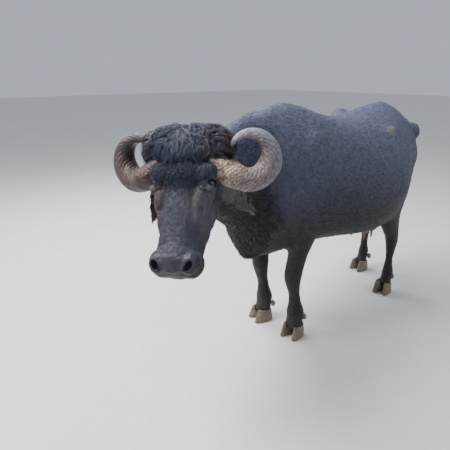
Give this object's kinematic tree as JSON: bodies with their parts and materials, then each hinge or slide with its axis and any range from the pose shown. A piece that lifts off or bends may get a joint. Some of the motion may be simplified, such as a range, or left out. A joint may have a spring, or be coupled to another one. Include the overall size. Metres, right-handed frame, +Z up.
{
  "type": "water buffalo",
  "caption": "Life-size standing water buffalo cow of a curl-horned Indian breed, head turned to its left, with coiled horns, drooping ears and a shaggy crown.",
  "frame": {"origin": "on the floor, under the middle of the whole animal's bounding box", "axes": "+Z up; the animal faces -Y; +X is the animal's own left side"},
  "size_m": [0.8388, 2.4202, 1.3862],
  "materials": {
    "coat": "sparse black hair over charcoal hide, satin",
    "coat_warm": "longer brown-black hair, matte",
    "udder_skin": "bare skin, satin",
    "horn": "ringed horn, dull with dry mud",
    "hoof": "dull horn with dry mud",
    "eye": "wet dark eyeball"
  },
  "bodies": {
    "root": {"head": "coat", "neck": "coat", "torso": "coat", "front_leg_left": "coat", "front_leg_right": "coat", "hind_leg_left": "coat", "hind_leg_right": "coat", "tail": "coat", "tail_switch": "coat", "crown": "coat_warm", "ear_left": "coat_warm", "ear_right": "coat_warm", "udder": "udder_skin", "horn_left": "horn", "horn_right": "horn", "claw_front_left_inner": "hoof", "claw_front_left_outer": "hoof", "claw_front_right_inner": "hoof", "claw_front_right_outer": "hoof", "claw_hind_left_inner": "hoof", "claw_hind_left_outer": "hoof", "claw_hind_right_inner": "hoof", "claw_hind_right_outer": "hoof", "dewclaw_front_left_inner": "hoof", "dewclaw_front_left_outer": "hoof", "dewclaw_front_right_inner": "hoof", "dewclaw_front_right_outer": "hoof", "dewclaw_hind_left_inner": "hoof", "dewclaw_hind_left_outer": "hoof", "dewclaw_hind_right_inner": "hoof", "dewclaw_hind_right_outer": "hoof", "eye_left": "eye", "eye_right": "eye"}
  },
  "joints": []
}
